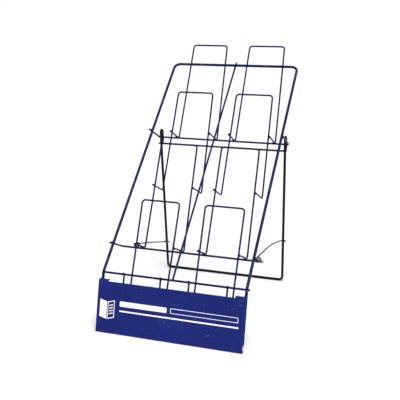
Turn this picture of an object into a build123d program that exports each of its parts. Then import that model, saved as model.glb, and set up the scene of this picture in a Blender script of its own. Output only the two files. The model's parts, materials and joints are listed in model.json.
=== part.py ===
"""Folding table-top leaflet rack of bent, welded and powder-coated steel wire.

Two columns of four pockets climb backwards like stairs. Each pocket is the gap
between two wire hoops: the hoop behind is its back, and the top of the hoop in
front is its lip. A sheet-metal sign panel closes the front, and a U-shaped rear
leg, held open by two hooked stays, folds flat under the rails.

Frame: +Z up, +Y from the sign panel towards the rear leg, +X to the right as
seen from the front. Millimetres. The origin is the centre of the footprint of
the whole rack, on the surface that it stands on.
"""
from build123d import *
import math
import os

os.makedirs("parts", exist_ok=True)

# ---------------------------------------------------------------- wire sizes
frame_wire = 4.8          # outer frame and rear leg
bar_wire = 3.4            # centre rail, crossbars, shelf bars and leg brace
hoop_wire = 3.0           # pocket hoops and front wires
stay_wire = 2.3           # folding stays
weld_sink = 0.05          # how far two welded wires run into each other

# ------------------------------------------------------------ main dimensions
rail_spacing = 240.0      # centre to centre of the two side rails
rail_lean = 48.0          # rails, degrees back from vertical
pocket_lean = 24.7        # hoops, degrees back from vertical
bend_height = 92.5        # height of the bend where the rails turn down
tier_pitch = 120.0        # one pocket to the next, along the rails
lower_shelf_at = 53.5     # bend to lower shelf bar, along the rails
shelf_drop = 48.0         # rail to shelf bar, along the end pieces
end_nub = 4.5             # how far a shelf bar's ends stand in front of the rails
foot_nub = 3.5            # how far a hoop's feet stand in front of the next hoop
hoop_setback = 13.5       # shelf bar to the plane of the hoop that stands on it
hoop_height = 186.0       # foot to top bar of a hoop, along its lean
column_centre = 55.5      # middle of a column from the middle of the two columns
column_shift = 3.4        # the two columns sit this far right of the rack's middle
hoop_top_half = 33.2      # half width of every hoop at its top
row4_foot_half = 31.6     # half width of the lowest hoops at their feet
front_lean = 13.5         # sign panel and lower rails, degrees back from vertical
centre_rail_above = 10.0  # how far the centre rail passes the top bar
crossbar_past_rail = 1.6  # how far the bottom crossbar passes the right rail
front_wire_foot = 1.0     # how far a front wire passes its weld on the floor bar

# ------------------------------------------------------------------ bend radii
frame_corner = 11.0
rail_bend = 12.0
frame_foot_corner = 10.0
shelf_corner = 3.2
hoop_corner = 5.5
hoop_foot_bend = 4.0

# ------------------------------------------------------------------ sign panel
panel_width = 245.0
panel_height = 84.0       # along its slope
panel_sheet = 1.2
panel_gap = 9.0           # panel's back face to the middle of the lower rails
panel_bend = 1.6          # inner radius of the fold at the floor
ear_fold = 0.6            # inner radius of the ears' folds
ear_width = 17.0          # folded ears at the two top corners
ear_rise = 2.4            # how far the ears stand above the top edge
ear_root = 1.0            # how far the ears reach down into the sheet
flange_middle = 6.0       # front edge of the flange to its middle

# -------------------------------------------------------------------- rear leg
leg_shift = -0.4          # side play of the leg along the upper shelf bar
leg_half_top = 118.9
leg_half_foot = 116.8
leg_foot_y = 281.0        # from the rail bend, at the floor
leg_corner = 7.0
slot_width = 3.7          # gap between the strands of a hairpin loop
loop_above = 16.0         # shelf bar's centre to the top of a hairpin loop
loop_below = 4.0          # length of parallel strands below the shelf bar
loop_tail = 8.0           # length of the end that closes towards the leg
tail_bend = 4.0
tail_gap = 0.25           # between that end and the leg
brace_below = 10.0        # shelf bar's centre to the leg brace
brace_half = 122.5
kink_below_brace = 15.0   # brace to where the legs start to draw together
kink_bend = 60.0

# ----------------------------------------------------------------------- stays
right_eye_at = 12.0       # rail to the right stay's eye, along the shelf bar's end
left_eye_at = 10.0        # row 4 hoop to the left stay's eye, along the foot
right_hook_height = 83.0
left_hook_height = 56.0
right_bow = 4.0           # rise of the stay's bow above a straight line
left_bow = 0.0
bow_at = 0.6              # where the bow is, as a share of the way from the eye
stay_gap = 0.5            # between a stay and the leg beside it
hook_gap = 0.8            # between the hook and the back of the leg
hook_tip = 7.0
eye_half = 3.9            # half size of the square-round eye
eye_corner = 3.0
eye_end = 0.8             # where the wire's cut end stops short of the eye's middle
eye_exit = 1.2            # where the shank leaves, above the eye's middle
stay_corner = 3.0
bow_radius = 900.0
eye_tilt = 22.0           # eye off square to its wire with the leg open, degrees

# --------------------------------------------------------- directions in space
RIGHT = Vector(1, 0, 0)


def leaning(degrees):
    """Unit vector that leans back from vertical by this angle."""
    return Vector(0, math.sin(math.radians(degrees)), math.cos(math.radians(degrees)))


UP_RAIL = leaning(rail_lean)
UP_HOOP = leaning(pocket_lean)
UP_FRONT = leaning(front_lean)
BACK = leaning(pocket_lean + 90)         # along the feet, backwards and down
FRONT_BACK = leaning(front_lean + 90)    # square to the sign panel, backwards

# ------------------------------------------------------------- derived lengths
half = rail_spacing / 2
stair_angle = math.radians(rail_lean - pocket_lean)
tier_depth = tier_pitch * math.sin(stair_angle)    # hoop plane to hoop plane
tier_rise = tier_pitch * math.cos(stair_angle)     # foot to foot, up the hoops
upper_shelf_at = lower_shelf_at + 2 * tier_pitch
on_bar = (bar_wire + hoop_wire) / 2 - weld_sink    # hoop wire lying on a bar
side_by_side = hoop_wire - weld_sink               # two hoop wires, welded
on_frame = (frame_wire + hoop_wire) / 2 - weld_sink
bar_on_frame = (frame_wire + bar_wire) / 2 - weld_sink
rail_length = upper_shelf_at + (shelf_drop + hoop_setback + on_frame) / math.sin(stair_angle)

# ---------------------------------------------------------------- key points
bend = Vector(0, 0, bend_height)
top = bend + UP_RAIL * rail_length
upper_rail_point = bend + UP_RAIL * upper_shelf_at
lower_rail_point = bend + UP_RAIL * lower_shelf_at
upper_shelf = upper_rail_point + BACK * shelf_drop
lower_shelf = lower_rail_point + BACK * shelf_drop
frame_foot = bend - UP_FRONT * ((bend_height - frame_wire / 2) / UP_FRONT.Z)

row1_foot = upper_shelf + BACK * hoop_setback + UP_HOOP * on_bar
row_step = BACK * tier_depth + UP_HOOP * tier_rise
row_foot = [row1_foot - row_step * row for row in range(4)]


# ------------------------------------------------------------------- wire tool
def wire(points, radii, diameter, closed=False):
    """Round wire bent through points, with one bend radius for each corner."""
    path = FilletPolyline(*points, radius=radii, close=closed) if radii else Line(*points)
    section = Plane(origin=path @ 0, z_dir=path % 0) * Circle(diameter / 2)
    return sweep(section, path=path).solid()


def mirrored(points):
    """The same points on the other side of the rack's middle, last one first."""
    return [Vector(-point.X, point.Y, point.Z) for point in reversed(points)]


# ----------------------------------------------------------------- outer frame
def outer_frame():
    """One heavy wire: top bar, two rails, their bend, and a bar at the floor."""
    side = [frame_foot + RIGHT * half, bend + RIGHT * half, top + RIGHT * half]
    corners = [frame_foot_corner, rail_bend, frame_corner]
    radii = [*corners, *reversed(corners)]
    return wire([*side, *mirrored(side)], radii, frame_wire, closed=True)


# ------------------------------------------------- centre rail and crossbars
def centre_rail():
    """Middle wire, welded to the front of the top bar and of the bottom bar."""
    square = UP_RAIL.cross(RIGHT).normalized()      # out of the rails' front
    high = top + square * bar_on_frame + UP_RAIL * centre_rail_above
    low = bend - square * (bar_on_frame - bar_wire + weld_sink) - UP_RAIL * (bar_wire / 2)
    return wire([low, high], None, bar_wire)


def crossbar_centre():
    """Middle of the bottom crossbar, welded behind the bend of the rails."""
    half_turn = math.radians((rail_lean - front_lean) / 2)
    inside_bend = rail_bend * (1 / math.cos(half_turn) - 1)
    return bend + leaning((rail_lean + front_lean) / 2 + 90) * (bar_on_frame + inside_bend)


def bottom_crossbar():
    """Straight bar that ends on the left rail and a little past the right one."""
    reach = half + frame_wire / 2 + crossbar_past_rail
    centre = crossbar_centre()
    return wire([centre - RIGHT * half, centre + RIGHT * reach], None, bar_wire)


def shelf_bar(rail_point):
    """U-shaped bar whose ends are welded to the outer sides of the rails."""
    side = RIGHT * (half + bar_on_frame)
    right = [rail_point + side + BACK * shelf_drop, rail_point + side - BACK * end_nub]
    points = [*mirrored(right), *right]
    return wire(points, [shelf_corner, shelf_corner], bar_wire)


# ----------------------------------------------------------------------- hoops
def foot_halves():
    """Half widths at the feet, rows 1 to 4.

    The feet of a hoop pass outside the legs of the next hoop and are welded to
    their sides, so each row is as wide at its feet as the next row is there.
    """
    halves = [row4_foot_half]
    for _ in range(3):
        feet = halves[0]
        at_weld = feet + (hoop_top_half - feet) * tier_rise / hoop_height
        halves.insert(0, at_weld + side_by_side)
    return halves


FOOT_HALF = foot_halves()


def front_wire_line():
    """Top and bottom of the front wires, in the rack's middle plane."""
    high = crossbar_centre() + FRONT_BACK * on_bar + UP_FRONT * (bar_wire / 2)
    low = frame_foot + FRONT_BACK * on_frame
    return low, high


def row4_foot_length():
    """Distance from a lowest hoop forward to the front wires, along its feet."""
    low, high = front_wire_line()
    along = (high - low).normalized()
    square = along.cross(RIGHT)
    return (row_foot[3] - low).dot(square) / BACK.dot(square)


def hoop(row, centre):
    """Inverted U whose legs turn forward at the bottom into two feet."""
    foot = row_foot[row]
    length = tier_depth if row < 3 else row4_foot_length()
    feet = RIGHT * FOOT_HALF[row]
    head = RIGHT * hoop_top_half
    right = [
        foot + UP_HOOP * hoop_height + head,
        foot + feet,
        foot + feet - BACK * (length + foot_nub),
    ]
    points = [point + RIGHT * centre for point in [*mirrored(right), *right]]
    radii = [hoop_foot_bend, hoop_corner, hoop_corner, hoop_foot_bend]
    return wire(points, radii, hoop_wire)


def front_wire(x):
    """Straight upright behind the sign panel, bottom crossbar to floor bar."""
    low, high = front_wire_line()
    foot = low - (high - low).normalized() * front_wire_foot
    return wire([foot + RIGHT * x, high + RIGHT * x], None, hoop_wire)


# ------------------------------------------------------------------ sign panel
def panel_point(along, back):
    """Side-view (y, z) from the foot of the sheet's back face: up its slope, and back."""
    back_foot = frame_foot - FRONT_BACK * panel_gap
    back_foot = back_foot - UP_FRONT * (back_foot.Z / UP_FRONT.Z)
    point = back_foot + UP_FRONT * along + FRONT_BACK * back
    return point.Y, point.Z


def side_sheet(outline, rounded, low, high):
    """Extrude a side-view outline from x = low to high, with some corners rounded."""
    profile = make_face(Polyline(*outline, close=True))
    for corner, radius in rounded:
        vertex = profile.vertices().sort_by_distance((*corner, 0))[0]
        profile = fillet(vertex, radius)
    return extrude(Plane.YZ.offset(low) * profile, amount=high - low)


def sign_panel():
    """Sheet with a flange turned back along the floor and two ears on top.

    The flange is welded to the frame's floor bar, and the ears to the rails.
    """
    front_y = panel_point(0, 0)[0] - panel_sheet / FRONT_BACK.Y
    inner_corner = (panel_point(panel_sheet / UP_FRONT.Z, 0)[0], panel_sheet)
    bar_radius = frame_wire / 2
    flange_end = frame_foot.Y - math.sqrt(bar_radius**2 - (bar_radius - panel_sheet) ** 2) + weld_sink
    sheet_outline = [
        (flange_end, 0),
        (front_y, 0),
        panel_point(panel_height, -panel_sheet),
        panel_point(panel_height, 0),
        inner_corner,
        (flange_end, panel_sheet),
    ]
    folds = [(sheet_outline[1], panel_bend + panel_sheet), (inner_corner, panel_bend)]
    body = side_sheet(sheet_outline, folds, -panel_width / 2, panel_width / 2)

    ear_reach = panel_gap - frame_wire / 2 + weld_sink
    ear_top = panel_height + ear_rise
    ear_outline = [
        panel_point(panel_height - ear_root, -panel_sheet),
        panel_point(ear_top, -panel_sheet),
        panel_point(ear_top, ear_reach),
        panel_point(ear_top - panel_sheet, ear_reach),
        panel_point(ear_top - panel_sheet, 0),
        panel_point(panel_height - ear_root, 0),
    ]
    ear_folds = [(ear_outline[1], ear_fold + panel_sheet), (ear_outline[4], ear_fold)]
    outer = panel_width / 2
    for low in (-outer, outer - ear_width):
        body += side_sheet(ear_outline, ear_folds, low, low + ear_width)
    return body.solid()


# -------------------------------------------------------------------- rear leg
leg_strands = slot_width + frame_wire        # strand to strand in a hairpin loop
foot_to_shelf = upper_shelf - Vector(0, leg_foot_y, frame_wire / 2)
leg_tilt = math.degrees(math.atan2(foot_to_shelf.Y, foot_to_shelf.Z)) - math.degrees(
    math.asin(leg_strands / 2 / foot_to_shelf.length)
)
UP_LEG = leaning(leg_tilt)
LEG_BACK = leaning(leg_tilt + 90)
leg_at_shelf = upper_shelf - LEG_BACK * (leg_strands / 2)


def leg_x(side, z):
    """Middle of a leg at a height, on the side +1 or -1."""
    share = (z - frame_wire / 2) / (leg_at_shelf.Z - frame_wire / 2)
    return leg_shift + side * (leg_half_foot + (leg_half_top - leg_half_foot) * share)


def rear_leg():
    """One heavy wire: floor bar, two legs, and a hairpin loop round the shelf bar."""
    arc_rise = loop_above - frame_wire / 2 - leg_strands / 2
    arc_foot = leg_at_shelf + UP_LEG * arc_rise
    kink = leg_at_shelf - UP_LEG * (brace_below + kink_below_brace)
    floor = Vector(0, leg_foot_y, frame_wire / 2)
    across = LEG_BACK * leg_strands
    tail_start = leg_at_shelf + across - UP_LEG * loop_below
    tail_end = leg_at_shelf + LEG_BACK * (frame_wire + tail_gap) - UP_LEG * (loop_below + loop_tail)

    def loop_edges(side):
        x = RIGHT * (leg_shift + side * leg_half_top)
        crown = arc_foot + LEG_BACK * (leg_strands / 2) + UP_LEG * (leg_strands / 2)
        arc = ThreePointArc(arc_foot + x, crown + x, arc_foot + across + x)
        tail = FilletPolyline(arc_foot + across + x, tail_start + x, tail_end + x, radius=tail_bend)
        return [*arc.edges(), *tail.edges()]

    def side_points(side):
        top_x = RIGHT * (leg_shift + side * leg_half_top)
        foot_x = RIGHT * (leg_shift + side * leg_half_foot)
        return [arc_foot + top_x, kink + top_x, floor + foot_x]

    radii = [kink_bend, leg_corner, leg_corner, kink_bend]
    middle = FilletPolyline(*side_points(-1), *reversed(side_points(1)), radius=radii)
    path = Wire([*loop_edges(-1), *middle.edges(), *loop_edges(1)])
    section = Plane(origin=path @ 0, z_dir=path % 0) * Circle(frame_wire / 2)
    return sweep(section, path=path).solid()


def leg_brace():
    """Straight bar across the fronts of the two legs, just below the loops."""
    centre = leg_at_shelf - UP_LEG * brace_below - LEG_BACK * bar_on_frame
    return wire([centre - RIGHT * brace_half, centre + RIGHT * brace_half], None, bar_wire)


# ----------------------------------------------------------------------- stays
def leg_point(side, z):
    """Point on the middle of a leg at a height."""
    along = (z - leg_at_shelf.Z) / UP_LEG.Z
    point = leg_at_shelf + UP_LEG * along
    return Vector(leg_x(side, z), point.Y, z)


def stay(side, eye, height, bow):
    """Stay with an eye round a fixed wire and a hook, open forwards, on the leg.

    The wire leaves the eye on its -X side. The eye is eye_tilt off square to the
    wire that it is threaded on, so that it stays free through the whole swing. The
    rear part of the stay runs straight beside the leg, so that the two pass each
    other as the leg folds.
    """
    across_eye = RIGHT * eye_half
    up_eye = leaning(pocket_lean + eye_tilt)
    leg = leg_point(side, height)
    along = Vector(0, leg.Y - eye.Y, leg.Z - eye.Z).normalized()
    rise = Vector(0, -along.Z, along.Y)
    beside = RIGHT * (side * ((frame_wire + stay_wire) / 2 + stay_gap))
    behind = along * ((frame_wire + stay_wire) / 2 + hook_gap)
    leave = eye - across_eye + up_eye * eye_exit
    corner = leg - beside + behind
    bowed = leave + (corner - leave) * bow_at + rise * bow
    points = [
        eye - RIGHT * eye_end + up_eye * eye_half,
        eye + across_eye + up_eye * eye_half,
        eye + across_eye - up_eye * eye_half,
        eye - across_eye - up_eye * eye_half,
        leave,
        Vector(corner.X, bowed.Y, bowed.Z),
        corner,
        leg + beside + behind,
        leg + beside + behind - along * hook_tip,
    ]
    radii = [eye_corner, eye_corner, eye_corner, stay_corner, bow_radius, stay_corner, stay_corner]
    return wire(points, radii, stay_wire)


right_eye = lower_rail_point + RIGHT * (half + bar_on_frame) + BACK * right_eye_at
left_eye = row_foot[2] - BACK * (tier_depth - left_eye_at) - RIGHT * (column_centre - column_shift + FOOT_HALF[2])


# -------------------------------------------------------------------- assembly
def build():
    nodes = {
        "outer_frame": outer_frame(),
        "centre_rail": centre_rail(),
        "bottom_crossbar": bottom_crossbar(),
        "upper_shelf_bar": shelf_bar(upper_rail_point),
        "lower_shelf_bar": shelf_bar(lower_rail_point),
        "sign_panel": sign_panel(),
        "rear_leg": rear_leg(),
        "leg_brace": leg_brace(),
        "left_stay": stay(-1, left_eye, left_hook_height, left_bow),
        "right_stay": stay(1, right_eye, right_hook_height, right_bow),
    }
    for name, side in (("left", -1), ("right", 1)):
        centre = column_shift + side * column_centre
        for row in range(4):
            nodes[f"pocket_hoop_row{row + 1}_{name}"] = hoop(row, centre)
        # Each front wire stands on the left of the foot that it is welded to.
        nodes[f"front_wire_{name}_outer"] = front_wire(centre + side * row4_foot_half - side_by_side)
        nodes[f"front_wire_{name}_inner"] = front_wire(centre - side * row4_foot_half - side_by_side)
    return nodes


def main():
    nodes = build()
    box = Compound(list(nodes.values())).bounding_box()
    origin = Vector(0, box.center().Y, box.min.Z)
    for name, solid in nodes.items():
        export_step(solid.moved(Pos(-origin)), f"parts/{name}.step")
    print("size", box.size)
    print("leg pivot", upper_shelf - origin)
    print("right eye", right_eye - origin)
    print("left eye", left_eye - origin)
    print("right hook", leg_point(1, right_hook_height) - origin)
    print("left hook", leg_point(-1, left_hook_height) - origin)
    print("floor flange", Vector(0, panel_point(0, 0)[0] + flange_middle, 0) - origin)
    print("leg tilt", leg_tilt, "foot halves", FOOT_HALF)


main()
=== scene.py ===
"""Looks of the folding wire leaflet rack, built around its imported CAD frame."""
import json
import math

import bmesh
import bpy
from mathutils import Matrix, Vector
from mathutils.bvhtree import BVHTree
from mathutils.geometry import intersect_ray_tri


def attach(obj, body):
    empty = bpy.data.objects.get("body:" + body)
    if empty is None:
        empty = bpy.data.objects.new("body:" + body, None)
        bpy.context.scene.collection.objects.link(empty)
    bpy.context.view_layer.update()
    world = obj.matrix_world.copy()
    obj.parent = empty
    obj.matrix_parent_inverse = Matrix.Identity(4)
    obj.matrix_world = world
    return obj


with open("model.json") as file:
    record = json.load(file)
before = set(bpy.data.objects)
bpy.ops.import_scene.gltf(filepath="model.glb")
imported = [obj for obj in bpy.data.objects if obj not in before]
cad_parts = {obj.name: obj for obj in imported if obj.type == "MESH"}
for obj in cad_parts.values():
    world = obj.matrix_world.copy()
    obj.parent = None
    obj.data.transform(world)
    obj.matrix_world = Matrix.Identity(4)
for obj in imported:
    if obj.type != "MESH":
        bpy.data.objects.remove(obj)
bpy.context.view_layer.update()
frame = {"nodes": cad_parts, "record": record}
NODES = frame["nodes"]
MOUNTS = {mount["name"]: mount for mount in frame["record"]["mounts"]}
MM = 0.001
X = Vector((1, 0, 0))

# ------------------------------------------------------------- the sign's plane
SIGN_CENTRE = Vector(MOUNTS["sign_face"]["pos_m"])
SIGN_OUT = Vector(MOUNTS["sign_face"]["axis"]).normalized()
SIGN_UP = SIGN_OUT.cross(X).normalized()
if SIGN_UP.z < 0:
    SIGN_UP = -SIGN_UP


# ------------------------------------------------------------------- materials
# Places of the colour sockets on the Mix node, which has one set for each data type.
MIX_FIRST_COLOUR = 6
MIX_SECOND_COLOUR = 7
MIX_RESULT_COLOUR = 2
COAT_IOR = 1.3
DUST = [0.05, 0.055, 0.10, 1.0]
WORN = [0.13, 0.13, 0.17, 1.0]
INK_THIN = [0.78, 0.80, 0.86, 1.0]
INK_FULL = [0.93, 0.94, 0.97, 1.0]
INK_PINHOLE = [0.30, 0.33, 0.55, 1.0]
FLOOR_DARKER = [0.89, 0.89, 0.89, 1.0]
FLOOR_LIGHTER = [0.91, 0.91, 0.91, 1.0]
WELD_PALER = 1.7


class Nodes:
    """Short calls to build a material's node tree."""

    def __init__(self, name):
        self.material = bpy.data.materials.new(name)
        self.material.use_nodes = True
        self.tree = self.material.node_tree
        self.shader = self.tree.nodes["Principled BSDF"]
        self.coords = self.tree.nodes.new("ShaderNodeTexCoord").outputs["Object"]

    def add(self, kind, inputs=(), **settings):
        node = self.tree.nodes.new(kind)
        for key, value in settings.items():
            setattr(node, key, value)
        for key, value in dict(inputs).items():
            self.put(node.inputs[key], value)
        return node

    def put(self, socket, value):
        if isinstance(value, bpy.types.NodeSocket):
            self.tree.links.new(value, socket)
        else:
            socket.default_value = value

    def noise(self, scale, detail=4.0, roughness=0.55):
        values = {"Vector": self.coords, "Scale": scale, "Detail": detail, "Roughness": roughness}
        return self.add("ShaderNodeTexNoise", values).outputs["Fac"]

    def spread(self, value, low, high, to_low=0.0, to_high=1.0):
        """Map value from low..high to to_low..to_high, clamped."""
        values = {"Value": value, "From Min": low, "From Max": high,
                  "To Min": to_low, "To Max": to_high}
        return self.add("ShaderNodeMapRange", values, clamp=True).outputs["Result"]

    def maths(self, operation, first, second=0.0):
        node = self.add("ShaderNodeMath", operation=operation)
        self.put(node.inputs[0], first)
        self.put(node.inputs[1], second)
        return node.outputs[0]

    def blend(self, share, first, second):
        node = self.add("ShaderNodeMix", data_type="RGBA")
        self.put(node.inputs["Factor"], share)
        self.put(node.inputs[MIX_FIRST_COLOUR], first)
        self.put(node.inputs[MIX_SECOND_COLOUR], second)
        return node.outputs[MIX_RESULT_COLOUR]

    def bump(self, height, strength, distance, normal=None):
        values = {"Height": height, "Strength": strength, "Distance": distance}
        if normal:
            values["Normal"] = normal
        return self.add("ShaderNodeBump", values).outputs["Normal"]


def powder_coat(name, colour, pale, dusty=0.5, gloss=0.34, chips=0.58, shine=0.3):
    """Semi-gloss coat: faint patches, dust, small chips and orange peel."""
    nodes = Nodes(name)
    patches = nodes.blend(nodes.spread(nodes.noise(18.0, 3.0), 0.35, 0.7), colour, pale)
    dust = nodes.spread(nodes.noise(95.0, 6.0, 0.7), 0.56, 0.8, 0.0, dusty)
    dusted = nodes.blend(dust, patches, DUST)
    scuffs = nodes.spread(nodes.noise(420.0, 5.0, 0.62), chips, chips + 0.03)
    worn = nodes.maths("MULTIPLY", scuffs, nodes.spread(nodes.noise(26.0, 2.0), 0.5, 0.66))
    nodes.put(nodes.shader.inputs["Base Color"], nodes.blend(worn, dusted, WORN))
    roughness = nodes.spread(nodes.noise(240.0, 4.0, 0.6), 0.3, 0.75, gloss - 0.07, gloss + 0.12)
    rougher = nodes.maths("ADD", roughness, nodes.maths("MULTIPLY", worn, 0.25))
    nodes.put(nodes.shader.inputs["Roughness"], rougher)
    peel = nodes.bump(nodes.noise(1300.0, 2.0, 0.45), 0.55, 0.00018)
    nodes.put(nodes.shader.inputs["Normal"], nodes.bump(worn, 0.5, 0.0002, peel))
    nodes.shader.inputs["Specular IOR Level"].default_value = shine
    nodes.shader.inputs["IOR"].default_value = COAT_IOR
    return nodes.material


def white_print(name):
    """Screen-printed white ink: slightly uneven, with a few pinholes."""
    nodes = Nodes(name)
    uneven = nodes.spread(nodes.noise(160.0, 5.0, 0.6), 0.3, 0.75)
    ink = nodes.blend(uneven, INK_THIN, INK_FULL)
    pinholes = nodes.spread(nodes.noise(900.0, 3.0, 0.6), 0.70, 0.74)
    nodes.put(nodes.shader.inputs["Base Color"], nodes.blend(pinholes, ink, INK_PINHOLE))
    nodes.put(nodes.shader.inputs["Roughness"], nodes.spread(uneven, 0.0, 1.0, 0.42, 0.56))
    nodes.put(nodes.shader.inputs["Normal"], nodes.bump(uneven, 0.2, 0.00005))
    return nodes.material


def weld_coat(name, colour):
    """Powder coat over a resistance weld: lumpy, a little glossier where it pooled."""
    nodes = Nodes(name)
    paler = [channel * WELD_PALER for channel in colour[:3]] + [1.0]
    patches = nodes.spread(nodes.noise(150.0), 0.35, 0.7)
    nodes.put(nodes.shader.inputs["Base Color"], nodes.blend(patches, colour, paler))
    nodes.put(nodes.shader.inputs["Roughness"], nodes.spread(nodes.noise(300.0), 0.3, 0.7, 0.22, 0.42))
    nodes.put(nodes.shader.inputs["Normal"], nodes.bump(nodes.noise(700.0, 4.0, 0.6), 0.6, 0.0003))
    nodes.shader.inputs["Specular IOR Level"].default_value = 0.3
    nodes.shader.inputs["IOR"].default_value = COAT_IOR
    return nodes.material


def plain_floor(name):
    """Pale matt floor with a barely visible tint."""
    nodes = Nodes(name)
    tint = nodes.spread(nodes.noise(12.0, 3.0), 0.3, 0.7)
    nodes.put(nodes.shader.inputs["Base Color"], nodes.blend(tint, FLOOR_DARKER, FLOOR_LIGHTER))
    nodes.shader.inputs["Roughness"].default_value = 0.8
    return nodes.material


NAVY = [0.002, 0.003, 0.050, 1.0]
NAVY_PALE = [0.003, 0.0045, 0.080, 1.0]
HOOP = [0.0015, 0.0022, 0.050, 1.0]
HOOP_PALE = [0.003, 0.004, 0.085, 1.0]
# Rear leg: the blue powder coat is painted near-black here, as painted shade where the leg is unlit;
# its paler copy gives random patches.
LEG_PAINTED_SHADE = [0.001, 0.001, 0.006, 1.0]
LEG_PAINTED_SHADE_PALE = [0.002, 0.0025, 0.014, 1.0]
# Stays: the blue powder coat is painted dark grey-black here, as painted shade where the wires face
# away from the light.
STAY_PAINTED_SHADE = [0.006, 0.006, 0.012, 1.0]
STAY_PAINTED_SHADE_PALE = [0.014, 0.015, 0.030, 1.0]
SHEET = [0.0078, 0.0140, 0.128, 1.0]
SHEET_PALE = [0.0098, 0.0172, 0.150, 1.0]

FINISHES = {
    "navy_heavy_wire": powder_coat("navy_heavy_wire_coat", NAVY, NAVY_PALE),
    "navy_wire": powder_coat("navy_wire_coat", HOOP, HOOP_PALE),
    "navy_sheet": powder_coat("navy_sheet_enamel", SHEET, SHEET_PALE, 0.12, 0.40, 0.63, 0.2),
    "dark_leg_wire": powder_coat("leg_coat_painted_shade", LEG_PAINTED_SHADE, LEG_PAINTED_SHADE_PALE),
    "stay_wire": powder_coat("stay_wire_coat_painted_shade", STAY_PAINTED_SHADE, STAY_PAINTED_SHADE_PALE, 0.5, 0.44, 0.55),
}
WELD = weld_coat("weld_bead_coat", NAVY)
# The rear leg's weld beads carry the same painted shade: near-black for the unlit blue coat.
LEG_WELD_PAINTED_SHADE = weld_coat("leg_weld_coat_painted_shade", LEG_PAINTED_SHADE)
PRINT = white_print("sign_print_white")
WIRE_END_ROUND = 0.35 * MM
SHEET_EDGE_ROUND = 0.25 * MM
SMOOTH_BELOW = math.radians(40)
ROUND_ABOVE = math.radians(55)


def dress_cad_nodes():
    """Every CAD node takes its slot's finish, and its cut edges look slightly rounded."""
    slots = {part["node"]: part["material_slot"] for part in frame["record"]["subparts"]}
    for name, thing in NODES.items():
        thing.data.materials.clear()
        thing.data.materials.append(FINISHES[slots[name]])
        for face in thing.data.polygons:
            face.use_smooth = True
        thing.data.set_sharp_from_angle(angle=SMOOTH_BELOW)
        rounding = thing.modifiers.new("rounded_edges", "BEVEL")
        rounding.width = SHEET_EDGE_ROUND if name == "sign_panel" else WIRE_END_ROUND
        rounding.segments = 3
        rounding.limit_method = "ANGLE"
        rounding.angle_limit = ROUND_ABOVE
        rounding.harden_normals = True


dress_cad_nodes()


def placed(name, data):
    """A new object in the scene."""
    thing = bpy.data.objects.new(name, data)
    bpy.context.scene.collection.objects.link(thing)
    return thing


# ----------------------------------------------------------------- weld beads
def joined_piece(name, meshes, material, body):
    """One object from several bmesh pieces, riding on a body."""
    whole = bmesh.new()
    for part in meshes:
        mesh = bpy.data.meshes.new("part")
        part.to_mesh(mesh)
        part.free()
        whole.from_mesh(mesh)
        bpy.data.meshes.remove(mesh)
    mesh = bpy.data.meshes.new(name)
    bmesh.ops.recalc_face_normals(whole, faces=whole.faces)
    whole.to_mesh(mesh)
    whole.free()
    for face in mesh.polygons:
        face.use_smooth = True
    mesh.set_sharp_from_angle(angle=SMOOTH_BELOW)
    mesh.materials.append(material)
    thing = placed(name, mesh)
    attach(thing, body)
    return thing


def surface_tree(name):
    """Search tree, points, faces and face normals of a CAD node."""
    mesh = NODES[name].data
    points = [vertex.co.copy() for vertex in mesh.vertices]
    faces = [tuple(face.vertices) for face in mesh.polygons]
    normals = [face.normal.copy() for face in mesh.polygons]
    return BVHTree.FromPolygons(points, faces), points, faces, normals


def crossing_points(first, second):
    """Points where two welded nodes' surfaces cut each other, with the first's normals."""
    tree_a, points_a, faces_a, normals_a = TREES[first]
    tree_b, points_b, faces_b, _ = TREES[second]
    found = []
    for a, b in tree_a.overlap(tree_b):
        for corners, other in ((faces_a[a], faces_b[b]), (faces_b[b], faces_a[a])):
            own, its = (points_a, points_b) if corners is faces_a[a] else (points_b, points_a)
            triangle = [its[i] for i in other[:3]]
            for k in range(3):
                start, end = own[corners[k]], own[corners[(k + 1) % 3]]
                hit = intersect_ray_tri(*triangle, end - start, start)
                if hit and 0 <= (hit - start).dot(end - start) <= (end - start).length_squared:
                    found.append((hit, normals_a[a]))
    return found


def welds(first, second, apart):
    """Centre and direction of each weld; crossing points nearer than apart are one weld."""
    groups = []
    for point, normal in crossing_points(first, second):
        near = next((g for g in groups if (g[0][0] - point).length < apart), None)
        if near:
            near.append((point, normal))
        else:
            groups.append([(point, normal)])
    for group in groups:
        centre = sum((point for point, _ in group), Vector()) / len(group)
        yield centre, sum((normal for _, normal in group), Vector()).normalized()


BEAD_RADIUS = 2.6 * MM
BEAD_THICKNESS = 1.25 * MM
LUMP = 0.10
FINE_LUMP = 0.06
BEAD_TURN = 1.7


def bead(centre, normal, turn):
    """Lumpy lens of coated weld metal between two wires."""
    ball = bmesh.new()
    bmesh.ops.create_icosphere(ball, subdivisions=3, radius=1.0)
    to_normal = normal.to_track_quat("Z", "X").to_matrix().to_4x4()
    for vertex in ball.verts:
        angle = math.atan2(vertex.co.y, vertex.co.x)
        lump = 1 + LUMP * math.sin(3 * angle + turn) + FINE_LUMP * math.sin(5 * angle + 2.3 * turn)
        vertex.co.x *= BEAD_RADIUS * lump
        vertex.co.y *= BEAD_RADIUS * lump
        vertex.co.z *= BEAD_THICKNESS
    bmesh.ops.transform(ball, matrix=Matrix.Translation(centre) @ to_normal, verts=ball.verts)
    return ball


WELD_SPACING = 9 * MM
SHEET_WELD_SPACING = 48 * MM
FLOOR_CLEAR = 3 * MM
PAIRS = frame["record"]["behaviour"]["press_fits"]
TREES = {name: surface_tree(name) for pair in PAIRS for name in pair}


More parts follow.
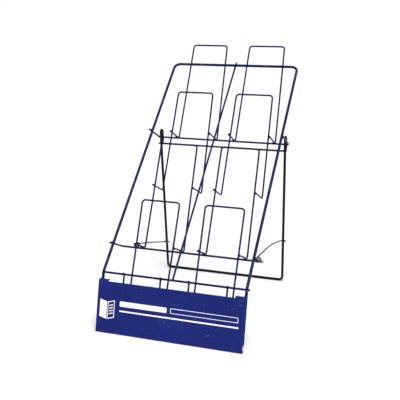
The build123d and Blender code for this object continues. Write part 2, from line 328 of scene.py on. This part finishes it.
def weld_beads():
    """Beads at every weld that isn't down on the floor, joined into one piece a body."""
    beads = {"frame": [], "leg": []}
    for first, second in PAIRS:
        body = "leg" if first == "rear_leg" else "frame"
        on_sheet = "sign_panel" in (first, second)
        apart = SHEET_WELD_SPACING if on_sheet else WELD_SPACING
        for centre, normal in welds(first, second, apart):
            if centre.z < FLOOR_CLEAR:
                continue
            beads[body].append(bead(centre, normal, len(beads[body]) * BEAD_TURN))
    joined_piece("frame_weld_beads", beads["frame"], WELD, "frame")
    joined_piece("leg_weld_beads", beads["leg"], LEG_WELD_PAINTED_SHADE, "leg")


weld_beads()


# ----------------------------------------------------------------- sign print
# A generic sign: a leaflet pictogram, a solid bar, an outlined bar and a rule.
# Lengths are millimetres on the sign, from its centre.
INK = 0.09 * MM
INK_SEGMENTS = 6
INK_LEFT = -83
SOLID_BAR_RIGHT = -3
OUTLINED_BAR_LEFT, OUTLINED_BAR_RIGHT = 3, 113
BAR_LOW, BAR_HIGH = 4.4, 12.6
BAR_CORNER = 1.6
BAR_LINE = 0.8
RULE_RIGHT = 114
RULE_LOW, RULE_HIGH = -4.2, -2.0
RULE_CORNER = 0.9
LEAF_FOLD = -104.5
LEAF_NEAR, LEAF_FAR = 0.7, 12.7
LEAF_LOW, LEAF_HIGH = -18.5, 9.5
LEAF_SKEW = 3.4
LEAF_BORDER = 1.1
LEAF_MITRE = 1.4
LINE_HEIGHTS = (-11.5, -7.0, -2.5, 2.0)
LINE_START, LINE_END = 3.6, 10.0
LINE_WIDTH = 1.5
LINE_SLOPE = LEAF_SKEW / (LEAF_FAR - LEAF_NEAR)


def rounded_outline(left, right, low, high, radius):
    """Points of a rounded rectangle on the sign."""
    points = []
    for cx, cy, start in ((right - radius, high - radius, 0), (left + radius, high - radius, 90),
                          (left + radius, low + radius, 180), (right - radius, low + radius, 270)):
        for step in range(INK_SEGMENTS + 1):
            angle = math.radians(start + 90 * step / INK_SEGMENTS)
            points.append((cx + radius * math.cos(angle), cy + radius * math.sin(angle)))
    return points


def on_sign(point, lift):
    """Place in the scene of a point on the sign, lifted off its face."""
    along, up = point
    return SIGN_CENTRE + X * (along * MM) + SIGN_UP * (up * MM) + SIGN_OUT * lift


def ink_shape(outline, hole=None):
    """A thin raised layer of ink with this outline, closed behind the sheet's face."""
    shape = bmesh.new()
    top = [shape.verts.new(on_sign(p, INK)) for p in outline]
    under = [shape.verts.new(on_sign(p, -INK)) for p in outline]
    count = len(outline)
    for i in range(count):
        j = (i + 1) % count
        shape.faces.new((under[i], under[j], top[j], top[i]))
    if hole is None:
        shape.faces.new(top)
        shape.faces.new(list(reversed(under)))
        return shape
    top_in = [shape.verts.new(on_sign(p, INK)) for p in hole]
    under_in = [shape.verts.new(on_sign(p, -INK)) for p in hole]
    for i in range(count):
        j = (i + 1) % count
        shape.faces.new((top[i], top[j], top_in[j], top_in[i]))
        shape.faces.new((top_in[i], top_in[j], under_in[j], under_in[i]))
        shape.faces.new((under_in[i], under_in[j], under[j], under[i]))
    return shape


def bar_outline():
    left, right = OUTLINED_BAR_LEFT, OUTLINED_BAR_RIGHT
    outer = rounded_outline(left, right, BAR_LOW, BAR_HIGH, BAR_CORNER)
    inner = rounded_outline(left + BAR_LINE, right - BAR_LINE, BAR_LOW + BAR_LINE,
                            BAR_HIGH - BAR_LINE, BAR_CORNER - BAR_LINE / 2)
    return ink_shape(outer, inner)


def leaf(near, far):
    """Outline of one half of the open leaflet, with its outer edge skewed up."""
    return [(near, LEAF_LOW), (far, LEAF_LOW + LEAF_SKEW), (far, LEAF_HIGH + LEAF_SKEW),
            (near, LEAF_HIGH)]


def leaf_hole(near, far):
    """What is left open inside the right half, so that only its border is printed."""
    near, far = near + LEAF_BORDER, far - LEAF_BORDER
    return [(near, LEAF_LOW + LEAF_MITRE * LEAF_BORDER),
            (far, LEAF_LOW + LEAF_SKEW + LEAF_BORDER),
            (far, LEAF_HIGH + LEAF_SKEW - LEAF_MITRE * LEAF_BORDER),
            (near, LEAF_HIGH - LEAF_BORDER)]


def leaf_line(height):
    """A line across the right half, with the same skew."""
    low = height + LINE_SLOPE * LINE_START
    high = height + LINE_SLOPE * LINE_END
    start, end = LEAF_FOLD + LINE_START, LEAF_FOLD + LINE_END
    return ink_shape([(start, low), (end, high), (end, high + LINE_WIDTH), (start, low + LINE_WIDTH)])


def sign_print():
    right_half = (LEAF_FOLD + LEAF_NEAR, LEAF_FOLD + LEAF_FAR)
    pictogram = [ink_shape(leaf(LEAF_FOLD - LEAF_NEAR, LEAF_FOLD - LEAF_FAR)),
                 ink_shape(leaf(*right_half), leaf_hole(*right_half))]
    pictogram += [leaf_line(height) for height in LINE_HEIGHTS]
    solid = rounded_outline(INK_LEFT, SOLID_BAR_RIGHT, BAR_LOW, BAR_HIGH, BAR_CORNER)
    rule = rounded_outline(INK_LEFT, RULE_RIGHT, RULE_LOW, RULE_HIGH, RULE_CORNER)
    joined_piece("sign_solid_bar", [ink_shape(solid)], PRINT, "frame")
    joined_piece("sign_outlined_bar", [bar_outline()], PRINT, "frame")
    joined_piece("sign_rule", [ink_shape(rule)], PRINT, "frame")
    joined_piece("sign_leaflet_pictogram", pictogram, PRINT, "frame")


sign_print()


# ---------------------------------------------------------------- camera, light
VIEW_AZIMUTH = math.radians(18.632)
VIEW_PITCH = math.radians(15.199)
VIEW_FROM = (0.3719, -1.1307, 0.5047)
LENS = 63.593
SENSOR = 36.0
LIGHT_TARGET = Vector((0, 0, 0.2))
FRONT_LIGHT_AT = (0.9, -1.6, 1.1)
FRONT_LIGHT_SIZE = 1.3
FRONT_LIGHT_WATTS = 7
SUN_STRENGTH = 3.1
SUN_SPREAD = math.radians(50)
SUN_TILT = (math.radians(22), math.radians(14), 0)
SOFT_LIGHT = 0.33
BACKDROP = 1.0
FLOOR_REACH = 60.0


def aimed(thing, direction):
    thing.rotation_mode = "QUATERNION"
    thing.rotation_quaternion = direction.to_track_quat("-Z", "Y")


def camera():
    """Camera at the viewing angle of the reference, with its lens."""
    azimuth, pitch = VIEW_AZIMUTH, VIEW_PITCH
    look = Vector((-math.sin(azimuth) * math.cos(pitch), math.cos(azimuth) * math.cos(pitch),
                   -math.sin(pitch)))
    data = bpy.data.cameras.new("camera")
    data.sensor_width = SENSOR
    data.lens = LENS
    thing = placed("camera", data)
    thing.location = VIEW_FROM
    aimed(thing, look)
    bpy.context.scene.camera = thing


def front_light():
    data = bpy.data.lights.new("front", "AREA")
    data.energy = FRONT_LIGHT_WATTS
    data.size = FRONT_LIGHT_SIZE
    thing = placed("front", data)
    thing.location = FRONT_LIGHT_AT
    aimed(thing, LIGHT_TARGET - thing.location)


def overhead_light():
    data = bpy.data.lights.new("overhead", "SUN")
    data.energy = SUN_STRENGTH
    data.angle = SUN_SPREAD
    placed("overhead", data).rotation_euler = SUN_TILT


def floor():
    mesh = bpy.data.meshes.new("floor")
    reach = FLOOR_REACH
    corners = [(-reach, -reach, 0), (reach, -reach, 0), (reach, reach, 0), (-reach, reach, 0)]
    mesh.from_pydata(corners, [], [(0, 1, 2, 3)])
    mesh.materials.append(plain_floor("floor_white"))
    placed("floor", mesh)


def surroundings():
    """White studio: the backdrop is white, and the light from all round is soft and weaker."""
    world = bpy.data.worlds.new("studio")
    world.use_nodes = True
    tree = world.node_tree
    soft = tree.nodes["Background"]
    soft.inputs["Color"].default_value = (1, 1, 1, 1)
    soft.inputs["Strength"].default_value = SOFT_LIGHT
    backdrop = tree.nodes.new("ShaderNodeBackground")
    backdrop.inputs["Color"].default_value = (1, 1, 1, 1)
    backdrop.inputs["Strength"].default_value = BACKDROP
    mix = tree.nodes.new("ShaderNodeMixShader")
    path = tree.nodes.new("ShaderNodeLightPath")
    tree.links.new(path.outputs["Is Camera Ray"], mix.inputs["Fac"])
    tree.links.new(soft.outputs[0], mix.inputs[1])
    tree.links.new(backdrop.outputs[0], mix.inputs[2])
    tree.links.new(mix.outputs[0], tree.nodes["World Output"].inputs["Surface"])
    bpy.context.scene.world = world
    bpy.context.scene.view_settings.view_transform = "Standard"


camera()
surroundings()
overhead_light()
front_light()
floor()
